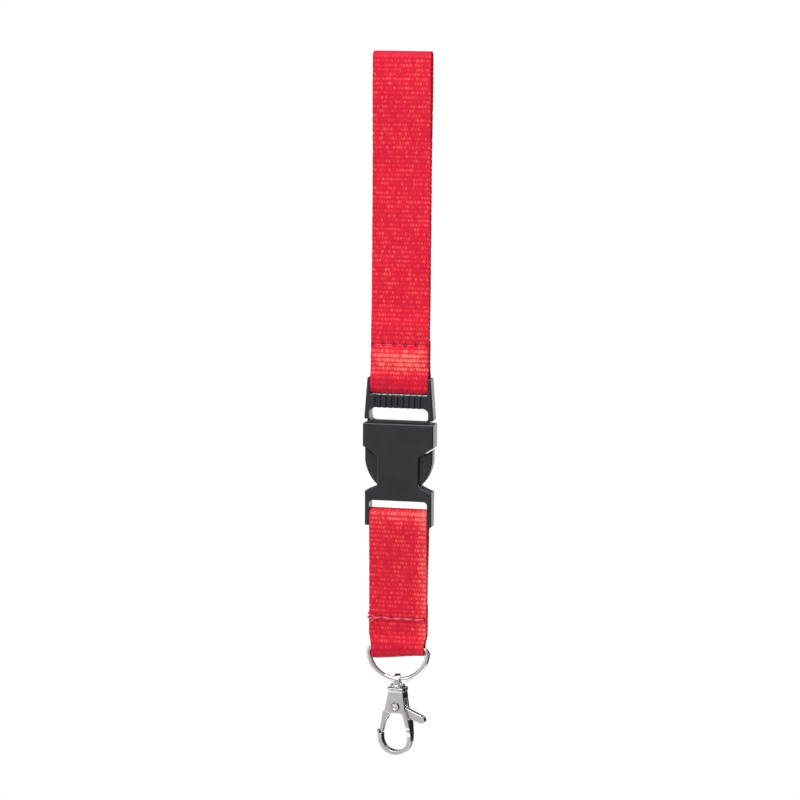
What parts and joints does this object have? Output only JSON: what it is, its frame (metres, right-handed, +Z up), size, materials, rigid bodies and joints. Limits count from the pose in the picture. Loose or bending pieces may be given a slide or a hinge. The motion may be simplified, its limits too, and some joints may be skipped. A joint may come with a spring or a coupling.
{
  "type": "hand lanyard",
  "caption": "Short webbing hand lanyard with a side-release buckle, a D-ring and a swivelling snap hook for keys.",
  "frame": {"origin": "inside of the hand loop's top fold, in the middle of the webbing's width, where a hand or a peg holds it", "axes": "+Z up along the hanging lanyard, X across the webbing's width, the front faces -Y"},
  "size_m": [0.024, 0.0072, 0.2358],
  "materials": {
    "webbing": "plain-woven polyester webbing, slight sheen",
    "thread": "polyester sewing thread",
    "buckle_plastic": "fine satin moulded acetal",
    "nickel": "bright nickel plate",
    "spring_steel": "drawn spring wire"
  },
  "bodies": {
    "root": {"hand_strap": "webbing", "upper_seam_thread": "thread"},
    "plug": {"buckle_plug": "buckle_plastic"},
    "arm_left": {"plug_arm_left": "buckle_plastic"},
    "arm_right": {"plug_arm_right": "buckle_plastic"},
    "socket": {"buckle_socket": "buckle_plastic"},
    "lower_strap": {"key_strap": "webbing", "lower_seam_thread": "thread"},
    "ring": {"d_ring": "nickel"},
    "eye": {"swivel_eye": "nickel"},
    "hook": {"hook_body": "nickel", "gate_rivet": "nickel", "gate_spring": "spring_steel"},
    "gate": {"gate_trigger": "nickel"}
  },
  "joints": [
    {"name": "plug_swing", "type": "hinge", "parent": "root", "child": "plug", "pos_m": [0, 0, -0.1097], "axis": [1, 0, 0], "range_deg": [-75, 75]},
    {"name": "arm_left_squeeze", "type": "hinge", "parent": "plug", "child": "arm_left", "pos_m": [-0.0064, 0, -0.12582], "axis": [0, -1, 0], "range_deg": [0, 10], "stiffness_Nm_per_rad": 0.3},
    {"name": "arm_right_squeeze", "type": "hinge", "parent": "plug", "child": "arm_right", "pos_m": [0.0064, 0, -0.12582], "axis": [0, 1, 0], "range_deg": [0, 10], "stiffness_Nm_per_rad": 0.3},
    {"name": "buckle_release", "type": "slide", "parent": "plug", "child": "socket", "axis": [0, 0, -1], "range_m": [0, 0.032], "deforming": ["plug_arm_left", "plug_arm_right"]},
    {"name": "key_strap_swing", "type": "hinge", "parent": "socket", "child": "lower_strap", "pos_m": [0, 0, -0.1531], "axis": [1, 0, 0], "range_deg": [-75, 75]},
    {"name": "ring_swing", "type": "hinge", "parent": "lower_strap", "child": "ring", "pos_m": [0, 0, -0.1984], "axis": [1, 0, 0], "range_deg": [-90, 90]},
    {"name": "eye_swing", "type": "hinge", "parent": "ring", "child": "eye", "pos_m": [0, 0, -0.209], "axis": [1, 0, 0], "range_deg": [-60, 60]},
    {"name": "hook_swivel", "type": "hinge", "parent": "eye", "child": "hook", "pos_m": [0, 0, -0.21145], "axis": [0, 0, 1], "continuous": true},
    {"name": "gate_open", "type": "hinge", "parent": "hook", "child": "gate", "pos_m": [0, 0, -0.21785], "axis": [-0.1392, -0.9903, 0], "range_deg": [0, 25], "stiffness_Nm_per_rad": 0.03, "springref_deg": -20.05, "deforming": ["gate_spring"]}
  ]
}
